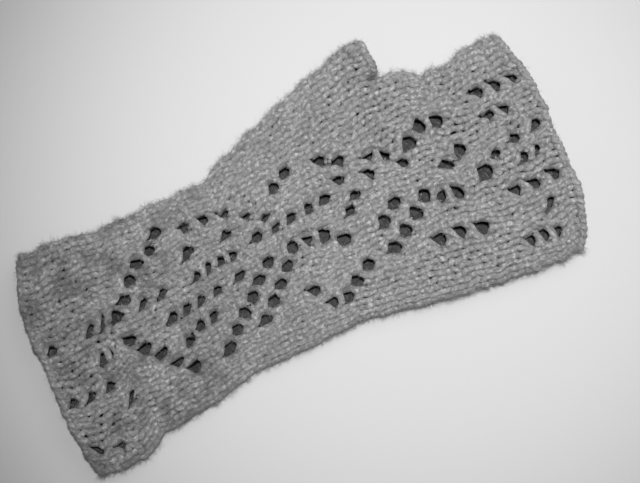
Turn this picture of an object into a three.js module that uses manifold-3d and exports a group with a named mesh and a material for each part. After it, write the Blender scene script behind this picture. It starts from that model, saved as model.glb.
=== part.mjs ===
// A hand-knitted lace wrist warmer (fingerless mitt), lying flat with its palm side down.
// Millimetres, +X from the wrist rim to the finger rim, +Y towards the thumb, +Z up from the table.
// The origin is the middle of the mitt's outline, on the table.
import * as THREE from "three";
import { mergeVertices } from "three/addons/utils/BufferGeometryUtils.js";
import Module from "manifold-3d";

const wasm = await Module();
wasm.setup();

// Knitting: rows run round the arm and wales run along it.
const LENGTH = 226;
const ROWS = 74;
const ROW = LENGTH / ROWS;
const CHART_COLUMNS = 22; // columns of the lace chart across the back of the hand, from fold to fold
const WALL = 2.4; // thickness of the knitted fabric

// Gaps and seats between the worked sections.
const GAP = 0.3;
const RIM = 3.4; // width of a cast-on or bound-off edge along the arm
const RIM_SWELL = 0.45; // how far such an edge stands proud of the fabric
const WRIST_BORDER_END = 11 * ROW;
const FINGER_BORDER_START = 64.6 * ROW;
const SHOULDER = 165; // where the thumb gusset ends in the thumb opening

// The lace rib of the two borders, all the way round. Its valleys hold the eyelets.
const RIB = { count: 18, relief: 0.5, points: 4 };

// Faceting.
const AROUND = 36;
const RIM_SIDES = 8;
const EYELET_SIDES = 6;

// The flat outline: how far each fold lies from the arm's line. A row for each turn of the edge.
const LITTLE_FINGER_FOLD = [
  { along: 0, across: -50.8 },
  { along: 14, across: -52.4 },
  { along: 22, across: -51.8 },
  { along: 28, across: -50.2 },
  { along: 34, across: -45.6 },
  { along: 60, across: -42.4 },
  { along: 76, across: -38.0 },
  { along: 100, across: -37.8 },
  { along: 124, across: -36.4 },
  { along: 134, across: -37.8 },
  { along: 154, across: -41.4 },
  { along: 170, across: -43.9 },
  { along: 209, across: -47.4 },
  { along: 226, across: -45.8 },
];
const THUMB_SIDE_FOLD = [
  { along: 0, across: 42.4 },
  { along: 14, across: 43.0 },
  { along: 28, across: 43.3 },
  { along: 37, across: 40.2 },
  { along: 89, across: 40.4 },
  { along: 126, across: 43.6 },
  { along: 165, across: 50.2 },
  { along: 180, across: 48.8 },
  { along: 185, across: 43.8 },
  { along: 196, across: 44.2 },
  { along: 206, across: 46.3 },
  { along: 216, across: 47.3 },
  { along: 226, across: 46.2 },
];
const GUSSET_FOLD = [
  { along: 89, across: 40.4 },
  { along: 100, across: 46.2 },
  { along: 114, across: 51.3 },
  { along: 134, across: 58.3 },
  { along: 154, across: 64.2 },
  { along: 166, across: 67.2 },
];

// The loft: how thick the mitt lies, and how square its folds are (2 is an oval).
const LOFT = [
  { along: 0, height: 11.6, square: 3.0 },
  { along: 28, height: 11.2, square: 3.0 },
  { along: 90, height: 10.2, square: 3.0 },
  { along: 150, height: 11.0, square: 3.6 },
  { along: 164, height: 11.4, square: 4.0 },
  { along: 170, height: 11.2, square: 3.4 },
  { along: 226, height: 11.2, square: 3.0 },
];
const FLATTENED = 0.5; // how much of the palm side's curve the table presses flat

// The rims draw back at the folds, which rounds the corners of the outline.
const CORNER_REACH = 26;
const CORNER_SHARPNESS = 4;
const CORNERS = {
  wrist: { thumb: 8, little: 2 },
  finger: { thumb: 6, little: 8 },
};

// Yarn-over eyelets on the back of the hand, a row for each straight run of them.
// rows and columns are the steps to the run's next eyelet.
const EYELET_RUNS = [
  { row: 12.1, column: 12.9, count: 2, rows: 1.75, columns: 1.18, size: 1.1 }, // first leaf, thumb side
  { row: 15.3, column: 15.7, count: 2, rows: 1.85, columns: 1.2, size: 1.15 },
  { row: 19.1, column: 17.6, count: 2, rows: 1.75, columns: 1.15, size: 1.05 },
  { row: 24.6, column: 18.2, count: 3, rows: 2.7, columns: -0.3, size: 0.9 },
  { row: 12.1, column: 10.1, count: 5, rows: 1.6, columns: -1.38, size: 1.1 }, // first leaf, little finger side
  { row: 15.6, column: 13.0, count: 2, rows: 3.1, columns: 0.1, size: 0.8 },
  { row: 18.6, column: 10.2, count: 4, rows: 2.15, columns: 0, size: 0.9 },
  { row: 19.5, column: 7.3, count: 3, rows: 1.9, columns: 0.4, size: 1.0 },
  { row: 23.6, column: 12.8, count: 4, rows: 1.75, columns: 0.12, size: 0.85 },
  { row: 23.8, column: 15.6, count: 2, rows: 5.6, columns: 0, size: 1.05 },
  { row: 23.8, column: 4.1, count: 6, rows: 1.8, columns: 1.25, size: 1.15 }, // twin diagonals
  { row: 29.5, column: 5.1, count: 5, rows: 1.75, columns: 1.4, size: 1.2 },
  { row: 32.5, column: 16.1, count: 2, rows: 2.5, columns: -1.3, size: 0.9 },
  { row: 32.9, column: 13.6, count: 5, rows: 2.5, columns: 0.05, size: 0.95 },
  { row: 38.7, column: 11.0, count: 3, rows: 2.1, columns: -0.95, size: 1.25 },
  { row: 36.9, column: 5.3, count: 2, rows: 1.8, columns: -1.9, size: 1.0 }, // second leaf
  { row: 40.4, column: 3.3, count: 3, rows: 2.05, columns: 1.2, size: 1.1 },
  { row: 48.7, column: 6.5, count: 4, rows: 2.1, columns: 1.15, size: 1.2 },
  { row: 48.9, column: 9.3, count: 2, rows: 2.0, columns: 1.1, size: 1.15 },
  { row: 37.4, column: 17.5, count: 2, rows: 1.9, columns: 0.9, size: 1.05 },
  { row: 44.3, column: 17.7, count: 2, rows: 2.3, columns: -1.1, size: 0.9 },
  { row: 50.4, column: 15.8, count: 3, rows: 1.8, columns: -1.05, size: 0.95 },
  { row: 45.2, column: 11.8, count: 2, rows: 1.6, columns: 0.9, size: 0.9 },
  { row: 45.6, column: 14.7, count: 2, rows: 4.0, columns: -0.6, size: 0.9 },
  { row: 56.8, column: 9.7, count: 2, rows: 2.0, columns: -0.1, size: 1.15 },
  { row: 56.0, column: 15.4, count: 3, rows: 2.0, columns: 0.7, size: 1.2 },
  { row: 54.5, column: 5.9, count: 3, rows: 2.75, columns: -0.1, size: 1.1 },
  { row: 59.4, column: 12.3, count: 2, rows: 2.0, columns: 1.2, size: 1.15 },
  { row: 63.3, column: 11.0, count: 1, rows: 0, columns: 0, size: 1.4 },
  { row: 28.9, column: 10.8, count: 1, rows: 0, columns: 0, size: 0.9 },
  { row: 2.4, column: 2.5, count: 2, rows: 3.3, columns: -0.4, size: 0.85 }, // borders
  { row: 9.6, column: 5.6, count: 1, rows: 0, columns: 0, size: 0.85 },
  { row: 2.2, column: 7.5, count: 3, rows: 2.7, columns: 0, size: 0.85 },
  { row: 8.0, column: 10.0, count: 2, rows: 1.9, columns: 0.1, size: 0.9 },
  { row: 2.7, column: 12.7, count: 1, rows: 0, columns: 0, size: 0.85 },
  { row: 8.2, column: 13.0, count: 2, rows: 1.8, columns: 0, size: 1.0 },
  { row: 65.4, column: 3.0, count: 3, rows: 1.9, columns: -0.1, size: 1.15 },
  { row: 69.7, column: 5.7, count: 1, rows: 0, columns: 0, size: 0.9 },
  { row: 66.0, column: 8.0, count: 3, rows: 2.8, columns: -0.2, size: 1.05 },
  { row: 68.9, column: 10.5, count: 2, rows: 1.8, columns: 0, size: 0.95 },
  { row: 65.4, column: 11.9, count: 3, rows: 3.25, columns: 0.4, size: 1.1 },
  { row: 67.0, column: 15.3, count: 2, rows: 2.0, columns: -0.1, size: 0.95 },
  { row: 66.8, column: 17.6, count: 3, rows: 2.45, columns: -0.1, size: 1.1 },
];
const EYELET = { along: 1.6, across: 1.45 }; // half length and half width at size 1

// The thumb opening in the gusset's shoulder, and the bound-off sleeve round it.
const THUMB = {
  across: 59.2,
  halfWidth: 7.8,
  halfHeight: 5.2,
  square: 3.0,
  wall: 2.2,
  length: 5.0,
  around: 28,
};

// Straight-line reading of a table with an along column.
function read(table, column, along) {
  const last = table.length - 1;
  if (along <= table[0].along) return table[0][column];
  if (along >= table[last].along) return table[last][column];
  const next = table.findIndex((entry) => entry.along > along);
  const a = table[next - 1];
  const b = table[next];
  const share = (along - a.along) / (b.along - a.along);
  return THREE.MathUtils.lerp(a[column], b[column], share);
}

// The folds of the flat outline at one place along the arm, depth millimetres inside the fabric's outside.
function foldsAt(along, depth = 0) {
  const little = read(LITTLE_FINGER_FOLD, "across", along);
  const handSide = read(THUMB_SIDE_FOLD, "across", along);
  const inGusset = along > GUSSET_FOLD[0].along && along < SHOULDER - depth;
  const thumb = inGusset ? Math.max(handSide, read(GUSSET_FOLD, "across", along)) : handSide;
  return { little: little + depth, thumb: thumb - depth };
}

// One unit of a superellipse: 2 is a circle, more is squarer.
function superellipse(angle, square) {
  const across = Math.cos(angle);
  const up = Math.sign(Math.sin(angle)) * (1 - Math.abs(across) ** square) ** (1 / square);
  return { across, up };
}

// How far the rims draw back along the arm at a share of the half width, -1 at the little finger fold.
function cornerPull(along, share) {
  const side = share > 0 ? "thumb" : "little";
  const bend = Math.abs(share) ** CORNER_SHARPNESS;
  const fade = (distance) => {
    const pastRim = Math.max(0, distance - RIM - GAP);
    return Math.max(0, 1 - pastRim / CORNER_REACH) ** 2;
  };
  return bend * (CORNERS.wrist[side] * fade(along) - CORNERS.finger[side] * fade(LENGTH - along));
}

// A point of the fabric: angle 0 is the thumb fold, a quarter turn is the middle of the back of the hand.
function fabricPoint(along, angle, depth) {
  const folds = foldsAt(along, depth);
  const middle = (folds.little + folds.thumb) / 2;
  const halfWidth = (folds.thumb - folds.little) / 2;
  const height = read(LOFT, "height", along);
  const unit = superellipse(angle, read(LOFT, "square", along));
  const halfHeight = height / 2 - depth + (unit.up < 0 ? FLATTENED : 0);
  const up = Math.max(height / 2 + unit.up * halfHeight, depth);
  const x = along + cornerPull(along, unit.across);
  return new THREE.Vector3(x, middle + unit.across * halfWidth, up);
}

// A closed ring of closed rings of points becomes one solid, such as a tube wall or a rim.
function ringSolid(rings) {
  const sides = rings[0].length;
  const position = rings.flat().flatMap((point) => point.toArray());
  const index = [];
  for (let i = 0; i < rings.length; i++)
    for (let j = 0; j < sides; j++) {
      const a = i * sides + j;
      const b = i * sides + ((j + 1) % sides);
      const c = ((i + 1) % rings.length) * sides + ((j + 1) % sides);
      const d = ((i + 1) % rings.length) * sides + j;
      index.push(a, b, c, a, c, d);
    }
  const geometry = new THREE.BufferGeometry();
  geometry.setAttribute("position", new THREE.Float32BufferAttribute(position, 3));
  geometry.setIndex(index);
  return geometry;
}

// The angles of a section's points, all the way round.
function angles(count) {
  return Array.from({ length: count }, (_, k) => (k / count) * 2 * Math.PI);
}

// Angles that divide a section into even lengths of knitting, as the ribs do.
function evenAngles(count) {
  const fine = angles(1440).map((angle) => ({ angle, point: fabricPoint(0, angle, 0) }));
  const lengths = fine.map(({ point }, k) => point.distanceTo(fine[(k + 1) % fine.length].point));
  const total = lengths.reduce((sum, length) => sum + length, 0);
  const chosen = [];
  let travelled = 0;
  fine.forEach(({ angle }, k) => {
    if (travelled >= (chosen.length / count) * total - 1e-9) chosen.push(angle);
    travelled += lengths[k];
  });
  return chosen.slice(0, count);
}

// A ring of plain fabric at one depth.
function plainRing(along, depth) {
  return angles(AROUND).map((angle) => fabricPoint(along, angle, depth));
}

// A ring of ribbed fabric: the fourth point of each rib is the bottom of its valley.
const ribAngles = evenAngles(RIB.count * RIB.points);
function ribbedRing(along, depth) {
  return ribAngles.map((angle, k) => {
    const turn = ((k + 1) / RIB.points) * 2 * Math.PI;
    return fabricPoint(along, angle, depth + (RIB.relief / 2) * (1 + Math.cos(turn)));
  });
}

// The places along the arm where a wall needs a section, with the shoulder's two at the wall's own depth.
function stations(start, end, depth) {
  const turns = [LITTLE_FINGER_FOLD, THUMB_SIDE_FOLD, GUSSET_FOLD, LOFT]
    .flatMap((table) => table.map((entry) => entry.along))
    .filter((along) => Math.abs(along - SHOULDER) > 5);
  const shoulder = [SHOULDER - depth - 0.3, SHOULDER - depth + 0.3];
  const inside = [...turns, ...shoulder].filter((along) => along > start + 2.5 && along < end - 2.5);
  const sorted = [start, ...inside.sort((a, b) => a - b), end];
  return sorted.filter((along, k) => k === 0 || along - sorted[k - 1] > 0.5);
}

// A stretch of the knitted tube: the outside, a rim, the inside, and the other rim.
function tubeWall(start, end, ring) {
  const outside = stations(start, end, 0).map((along) => ring(along, 0));
  const inside = stations(start, end, WALL).map((along) => ring(along, WALL));
  return ringSolid([...outside, ...inside.reverse()]);
}

// A rounded edge of bound stitches, as thick as the fabric and a little more.
function rimBead(middle) {
  const rings = angles(RIM_SIDES).map((angle) => {
    const along = middle - (RIM / 2) * Math.cos(angle);
    const depth = WALL / 2 - (WALL / 2 + RIM_SWELL) * Math.sin(angle);
    return angles(AROUND).map((around) => rimPoint(middle, along, around, depth));
  });
  return ringSolid(rings);
}

// A rim's point keeps the outline of its middle, and its foot stays on the table.
function rimPoint(middle, along, around, depth) {
  const point = fabricPoint(middle, around, depth);
  point.x += along - middle;
  point.z = Math.max(point.z, 0);
  return point;
}

// A geometry as a manifold solid, and back again.
function solidOf(geometry) {
  const bare = new THREE.BufferGeometry();
  bare.setAttribute("position", geometry.getAttribute("position"));
  bare.setIndex(geometry.getIndex());
  const merged = mergeVertices(bare, 1e-4);
  const vertProperties = merged.getAttribute("position").array;
  const triVerts = new Uint32Array(merged.getIndex().array);
  return new wasm.Manifold(new wasm.Mesh({ numProp: 3, vertProperties, triVerts }));
}
function geometryOf(solid) {
  const mesh = solid.getMesh();
  const geometry = new THREE.BufferGeometry();
  geometry.setAttribute("position", new THREE.BufferAttribute(mesh.vertProperties, 3));
  geometry.setIndex(new THREE.BufferAttribute(mesh.triVerts, 1));
  geometry.computeVertexNormals();
  return geometry;
}

// Where a column of the chart crosses a row. Columns are evenly spaced over the curved back of the hand.
function backPoint(row, column) {
  const along = row * ROW;
  const steps = 160;
  const handSide = read(THUMB_SIDE_FOLD, "across", along);
  const path = [];
  let travelled = 0;
  for (let k = 0; k <= steps; k++) {
    const point = fabricPoint(along, Math.PI * (1 - k / steps), 0);
    const last = path[path.length - 1];
    if (last && last.point.y > handSide) break;
    if (last) travelled += Math.hypot(point.y - last.point.y, point.z - last.point.z);
    path.push({ along: travelled, point });
  }
  const wanted = (column / CHART_COLUMNS) * travelled;
  return path.find((place) => place.along >= wanted).point;
}

// Every eyelet of the runs, with its place and size.
function eyelets() {
  return EYELET_RUNS.flatMap((run) =>
    Array.from({ length: run.count }, (_, k) => {
      const row = run.row + k * run.rows;
      const column = run.column + k * run.columns;
      return { row, size: run.size, place: backPoint(row, column) };
    }),
  );
}

// An upright cutter from the hollow out through the back of the hand.
function eyeletCutter(eyelet) {
  const height = read(LOFT, "height", eyelet.place.x);
  const cutter = new THREE.CylinderGeometry(1, 1, height, EYELET_SIDES);
  cutter.rotateX(Math.PI / 2);
  cutter.scale(EYELET.along * eyelet.size, EYELET.across * eyelet.size, 1);
  cutter.translate(eyelet.place.x, eyelet.place.y, height);
  return solidOf(cutter);
}

// The eyelets whose rows lie inside a stretch are cut through it.
function pierced(geometry, start, end) {
  const clear = EYELET.along + 0.6;
  const cutters = eyelets()
    .filter((eyelet) => eyelet.place.x - clear > start && eyelet.place.x + clear < end)
    .map(eyeletCutter);
  return solidOf(geometry).subtract(wasm.Manifold.union(cutters));
}

// The thumb's own section, looking along the arm.
function thumbRing(along, inset) {
  const middle = read(LOFT, "height", SHOULDER) / 2;
  return angles(THUMB.around).map((angle) => {
    const unit = superellipse(angle, THUMB.square);
    const aside = unit.across * (THUMB.halfWidth - inset);
    const up = middle + unit.up * (THUMB.halfHeight - inset);
    return new THREE.Vector3(along, THUMB.across + aside, up);
  });
}

// A closed bar along the arm that opens the gusset's shoulder for the thumb.
function thumbCutter() {
  const start = SHOULDER - 3 * WALL;
  const end = SHOULDER + 3;
  const shape = new THREE.Shape(
    thumbRing(0, THUMB.wall).map((point) => new THREE.Vector2(point.y, point.z)),
  );
  const bar = new THREE.ExtrudeGeometry(shape, { depth: end - start, bevelEnabled: false });
  // The shape's own x, y and depth become the mitt's across, up and along.
  bar.applyMatrix4(new THREE.Matrix4().set(0, 0, 1, start, 1, 0, 0, 0, 0, 1, 0, 0, 0, 0, 0, 1));
  return solidOf(bar);
}

// The bound-off sleeve round the thumb opening.
function thumbSleeve() {
  const start = SHOULDER + GAP;
  const end = start + THUMB.length;
  return ringSolid([
    thumbRing(start, 0),
    thumbRing((start + end) / 2, -0.25),
    thumbRing(end, 0.3),
    thumbRing(end, THUMB.wall - 0.2),
    thumbRing(start, THUMB.wall),
  ]);
}

// Solids whose rings run the other way round are turned so that their faces point out.
function facingOut(geometry) {
  if (solidOf(geometry).volume() > 0) return geometry;
  const index = geometry.getIndex();
  for (let i = 0; i < index.count; i += 3) {
    const second = index.getX(i + 1);
    index.setX(i + 1, index.getX(i + 2));
    index.setX(i + 2, second);
  }
  return geometry;
}

function knitted(name, geometry, grey) {
  const material = new THREE.MeshStandardMaterial({ color: grey, roughness: 0.95, metalness: 0 });
  const mesh = new THREE.Mesh(geometry, material);
  mesh.name = name;
  return mesh;
}

const BODY_GREY = 0x7e7e7c;
const BORDER_GREY = 0x74746f;
const EDGE_GREY = 0x6a6a68;

// Where each worked section starts and ends along the arm.
const borderStart = RIM + GAP;
const tubeStart = WRIST_BORDER_END + GAP;
const tubeEnd = FINGER_BORDER_START - GAP;
const borderEnd = LENGTH - RIM - GAP;

const wristBorder = pierced(
  facingOut(tubeWall(borderStart, WRIST_BORDER_END, ribbedRing)),
  borderStart,
  WRIST_BORDER_END,
);
const handTube = pierced(facingOut(tubeWall(tubeStart, tubeEnd, plainRing)), tubeStart, tubeEnd);
const fingerBorder = pierced(
  facingOut(tubeWall(FINGER_BORDER_START, borderEnd, ribbedRing)),
  FINGER_BORDER_START,
  borderEnd,
);

const wristWarmer = new THREE.Group();
wristWarmer.add(
  knitted("cast_on_edge", facingOut(rimBead(RIM / 2)), EDGE_GREY),
  knitted("wrist_border", geometryOf(wristBorder), BORDER_GREY),
  knitted("hand_tube", geometryOf(handTube.subtract(thumbCutter())), BODY_GREY),
  knitted("finger_border", geometryOf(fingerBorder), BORDER_GREY),
  knitted("finger_bind_off", facingOut(rimBead(LENGTH - RIM / 2)), EDGE_GREY),
  knitted("thumb_bind_off", facingOut(thumbSleeve()), EDGE_GREY),
);

// The origin moves to the middle of the outline, on the table.
const outline = new THREE.Box3().setFromObject(wristWarmer);
const centre = outline.getCenter(new THREE.Vector3());
wristWarmer.position.set(-centre.x, -centre.y, -outline.min.z);

export default wristWarmer;
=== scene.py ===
# %% [markdown]
# Hand-knitted lace wrist warmer
#
# A fingerless mitt in grey tweed wool lies palm down on a pale table. It is one tube of knitting with
# a ribbed border at each end, a thumb gusset on one side and yarn-over eyelets across the back.
# The lesson makes the yarn itself: each round of stitches is one closed strand, laid over the shape
# of the frame's mitt. Lengths are in millimetres until a mesh is made.

import math

import bpy
import numpy as np
from mathutils import Matrix, Vector


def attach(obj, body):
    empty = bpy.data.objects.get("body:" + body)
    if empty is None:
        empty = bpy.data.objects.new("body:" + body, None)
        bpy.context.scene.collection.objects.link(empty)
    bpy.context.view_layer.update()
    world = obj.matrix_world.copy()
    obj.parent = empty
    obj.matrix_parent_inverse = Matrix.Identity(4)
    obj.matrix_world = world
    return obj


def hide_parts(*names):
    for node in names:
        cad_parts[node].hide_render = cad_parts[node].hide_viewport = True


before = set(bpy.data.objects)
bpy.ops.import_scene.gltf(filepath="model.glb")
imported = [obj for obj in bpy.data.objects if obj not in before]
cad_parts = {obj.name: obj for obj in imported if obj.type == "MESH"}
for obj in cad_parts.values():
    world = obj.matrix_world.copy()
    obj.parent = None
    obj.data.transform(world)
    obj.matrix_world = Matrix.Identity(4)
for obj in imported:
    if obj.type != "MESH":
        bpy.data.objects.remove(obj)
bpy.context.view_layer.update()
rng = np.random.default_rng(11)
MM = 0.001
print("frame nodes:", sorted(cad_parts))

# %% [markdown]
# The camera
#
# The photograph looks straight down, with the mitt turned 24 degrees so that the fingers' end is up
# and to the right. The mitt or the camera could be turned to match. The camera is turned, because the
# mitt has to stay in its frame. A long lens from well above keeps the outline free of perspective.

# %% Camera
VIEW_WIDTH = 256.0
VIEW_CENTRE = (9.0, -8.15)
VIEW_TURN = -24.0
LENS = 85.0
SENSOR = 36.0
LOFT_MIDDLE = 5.5

camera_data = bpy.data.cameras.new("camera")
camera_data.lens = LENS
camera_data.sensor_width = SENSOR
camera = bpy.data.objects.new("camera", camera_data)
bpy.context.scene.collection.objects.link(camera)
camera_height = VIEW_WIDTH * LENS / SENSOR + LOFT_MIDDLE
camera.location = (VIEW_CENTRE[0] * MM, VIEW_CENTRE[1] * MM, camera_height * MM)
camera.rotation_euler = (0.0, 0.0, math.radians(VIEW_TURN))
bpy.context.scene.camera = camera
print("camera is", round(camera_height), "mm above the table")

# %% [markdown]
# The gauge
#
# A knitter's gauge gives every size: rows run round the arm, and wales, the columns of stitches, run
# along it. The back of the hand has 18 wales of 5 mm. The lace is charted on a finer grid of 22
# columns, because its eyelets lean between the wales. Every size could be typed in millimetres, but
# counted rows keep the borders, the gusset's shoulder and the lace in step.

# %% Gauge
LENGTH = 226.0
ROWS = 74
ROW = LENGTH / ROWS
BACK_WALES = 18
WALE = 5.0
COLUMNS = 22
COLUMN = 4.1
WALL = 2.4
CENTRE = (113.0, 7.55)
WRIST_BORDER_ROWS = 11
FINGER_BORDER_ROW = 65
SHOULDER_ROW = 54
print("row", round(ROW, 2), "mm, wale", WALE, "mm")

# %% [markdown]
# The outline
#
# Lying flat, the mitt ends at two folds, one at the little finger and one at the thumb's side, where
# the gusset swells out. A curve object could be drawn for each. Here each is a short table of places
# along the arm, the same as the frame's, because the yarn has to lie on that shape.

# %% Outline tables
LITTLE_FINGER_FOLD = {
    "along": [0, 14, 22, 28, 34, 60, 76, 100, 124, 134, 154, 170, 209, 226],
    "across": [-50.8, -52.4, -51.8, -50.2, -45.6, -42.4, -38.0,
               -37.8, -36.4, -37.8, -41.4, -43.9, -47.4, -45.8],
}
THUMB_SIDE_FOLD = {
    "along": [0, 14, 28, 37, 89, 126, 165, 180, 185, 196, 206, 216, 226],
    "across": [42.4, 43.0, 43.3, 40.2, 40.4, 43.6, 50.2, 48.8, 43.8, 44.2, 46.3, 47.3, 46.2],
}
GUSSET_FOLD = {
    "along": [89, 100, 114, 134, 154, 166],
    "across": [40.4, 46.2, 51.3, 58.3, 64.2, 67.2],
}
LOFT = {
    "along": [0, 28, 90, 150, 164, 170, 226],
    "height": [11.6, 11.2, 10.2, 11.0, 11.4, 11.2, 11.2],
    "square": [3.0, 3.0, 3.0, 3.6, 4.0, 3.4, 3.0],
}
FLATTENED = 0.5


def read(table, column, along):
    return np.interp(along, table["along"], table[column])


hand_width = read(THUMB_SIDE_FOLD, "across", LENGTH / 2) - read(LITTLE_FINGER_FOLD, "across", LENGTH / 2)
print("half way along, the hand is", round(float(hand_width)), "mm wide without the gusset")

# %% [markdown]
# Soft corners and bumpy edges
#
# Cloth has no straight edges. The rims' corners draw back, and rims and folds wander by less than a
# millimetre, in bumps a few stitches long. A displacement of the finished mesh could do this, but
# it would tear neighbouring strands apart. Waves in the surface itself move them together.

# %% Corners and waves
RIM = 3.7
CORNER_REACH = 26.0
CORNER_SHARPNESS = 4
CORNERS = {"wrist": {"thumb": 8.0, "little": 2.0}, "finger": {"thumb": 6.0, "little": 8.0}}
RIM_WAVE_REACH = 9.0
RIM_WAVES = [
    dict(size=0.45, turns=5, start=0.4),
    dict(size=0.3, turns=11, start=2.0),
]
FOLD_WAVES = [
    dict(size=0.5, length=15.5, start={"little": 0.6, "thumb": 6.6}),
    dict(size=0.35, length=6.9, start={"little": 2.0, "thumb": 5.1}),
]
FOLD_CALM = {"little": 0.3, "thumb": 0.8}
BORDER_END = 40.0


def corner_pull(along, share):
    """How far the rims draw back along the arm, which rounds the outline's corners."""
    side = np.where(share > 0, 1.0, 0.0)
    from_wrist = np.maximum(0, 1 - np.maximum(0, along - RIM) / CORNER_REACH) ** 2
    from_fingers = np.maximum(0, 1 - np.maximum(0, LENGTH - along - RIM) / CORNER_REACH) ** 2
    wrist = CORNERS["wrist"]["thumb"] * side + CORNERS["wrist"]["little"] * (1 - side)
    finger = CORNERS["finger"]["thumb"] * side + CORNERS["finger"]["little"] * (1 - side)
    return np.abs(share) ** CORNER_SHARPNESS * (wrist * from_wrist - finger * from_fingers)


def rim_wave(along, around):
    """A hand-worked rim wanders a little. The waves die out a few rows into the fabric."""
    reach = np.exp(-along / RIM_WAVE_REACH) - np.exp(-(LENGTH - along) / RIM_WAVE_REACH)
    wander = 0.0
    for wave in RIM_WAVES:
        wander = wander + wave["size"] * np.sin(2 * np.pi * wave["turns"] * around + wave["start"])
    return wander * reach


def fold_wave(along, side):
    """The bumps of a fold: full at the borders, calmer in the middle of the mitt."""
    total = 0.0
    for wave in FOLD_WAVES:
        turn = 2 * math.pi * along / wave["length"] + wave["start"][side]
        total += wave["size"] * math.sin(turn)
    near_wrist = math.exp(-((along / BORDER_END) ** 2))
    near_fingers = math.exp(-(((LENGTH - along) / BORDER_END) ** 2))
    lively = min(1.0, near_wrist + near_fingers)
    return total * (FOLD_CALM[side] + (1 - FOLD_CALM[side]) * lively)


print("bumps of a fold at the cuff:", [round(fold_wave(along, "little"), 2) for along in (5, 10, 15)])

# %% [markdown]
# The surface that the yarn follows
#
# A section across the arm is a flattened oval that starts at the little finger fold, crosses the back
# of the hand to the thumb's fold and comes back under the palm. A place on the fabric is its distance
# along the arm, its share of the way round, and its lift above the middle of the wall. The strands
# could be snapped to the frame's own mesh, but a table of sections also gives the way round, evenly.

# %% Surface
SHARES = np.linspace(0.0, 1.0, 401)
STATIONS = np.arange(-4.0, 231.0, 1.0)
SECTION_POINTS = 721


def section(along, gusset):
    """Even points round one section, their outward directions and the length of the back."""
    little = read(LITTLE_FINGER_FOLD, "across", along) + WALL / 2 + fold_wave(along, "little")
    thumb = read(THUMB_SIDE_FOLD, "across", along)
    if gusset and along > GUSSET_FOLD["along"][0]:
        thumb = max(thumb, read(GUSSET_FOLD, "across", along))
    thumb += fold_wave(along, "thumb") - WALL / 2
    rise = read(LOFT, "height", along) / 2
    square = read(LOFT, "square", along)
    angle = np.pi * (1 - np.linspace(0, 2, SECTION_POINTS))
    share = np.cos(angle)
    up = np.sign(np.sin(angle)) * (1 - np.abs(share) ** square).clip(0) ** (1 / square)
    half = rise - WALL / 2 + np.where(up < 0, FLATTENED, 0)
    y = (little + thumb) / 2 + share * (thumb - little) / 2
    z = np.maximum(rise + up * half, WALL / 2)
    step = np.hypot(np.diff(y), np.diff(z))
    travelled = np.concatenate([[0], np.cumsum(step)])
    back = travelled[SECTION_POINTS // 2]
    over_back = travelled / back / 2
    under_palm = 0.5 + (travelled - back) / (travelled[-1] - back) / 2
    around = np.where(travelled < back, over_back, under_palm)
    y_even = np.interp(SHARES, around, y)
    z_even = np.interp(SHARES, around, z)
    x_even = along + corner_pull(along, np.interp(SHARES, around, share)) + rim_wave(along, SHARES)
    tangent_y = np.gradient(y_even)
    tangent_z = np.gradient(z_even)
    size = np.hypot(tangent_y, tangent_z)
    return np.stack([x_even, y_even, z_even, -tangent_z / size, tangent_y / size], axis=1), back


def surface_table(gusset):
    made = [section(along, gusset) for along in STATIONS]
    return np.stack([points for points, back in made]), np.array([back for points, back in made])


TABLES = {"hand": surface_table(False), "gusset": surface_table(True)}
SHORT_OF_END = 0.001


def on_fabric(kind, along, share, lift):
    """Points of the fabric in millimetres, with their outward directions."""
    grid = TABLES[kind][0]
    last = len(STATIONS) - 1
    a = (along - STATIONS[0]).clip(0, last - SHORT_OF_END)
    s = (share % 1.0) * (len(SHARES) - 1)
    a0 = a.astype(int)
    s0 = s.astype(int).clip(0, len(SHARES) - 2)
    fa = (a - a0)[:, None]
    fs = (s - s0)[:, None]
    near = grid[a0, s0] * (1 - fs) + grid[a0, s0 + 1] * fs
    far = grid[a0 + 1, s0] * (1 - fs) + grid[a0 + 1, s0 + 1] * fs
    value = near * (1 - fa) + far * fa
    out = np.stack([np.zeros(len(value)), value[:, 3], value[:, 4]], axis=1)
    out /= np.linalg.norm(out, axis=1)[:, None]
    return value[:, :3] + out * lift[:, None], out


print("surface tables:", TABLES["hand"][0].shape)

# %% [markdown]
# The lace chart
#
# A yarn-over makes each eyelet: the strand crosses over a gap that no stitch fills. The runs below
# are the chart, worked on the back of the hand only. Each eyelet could be listed by itself, but a
# knitter reads lace as straight runs, so a run says where it starts, which way it steps and how often.

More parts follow.
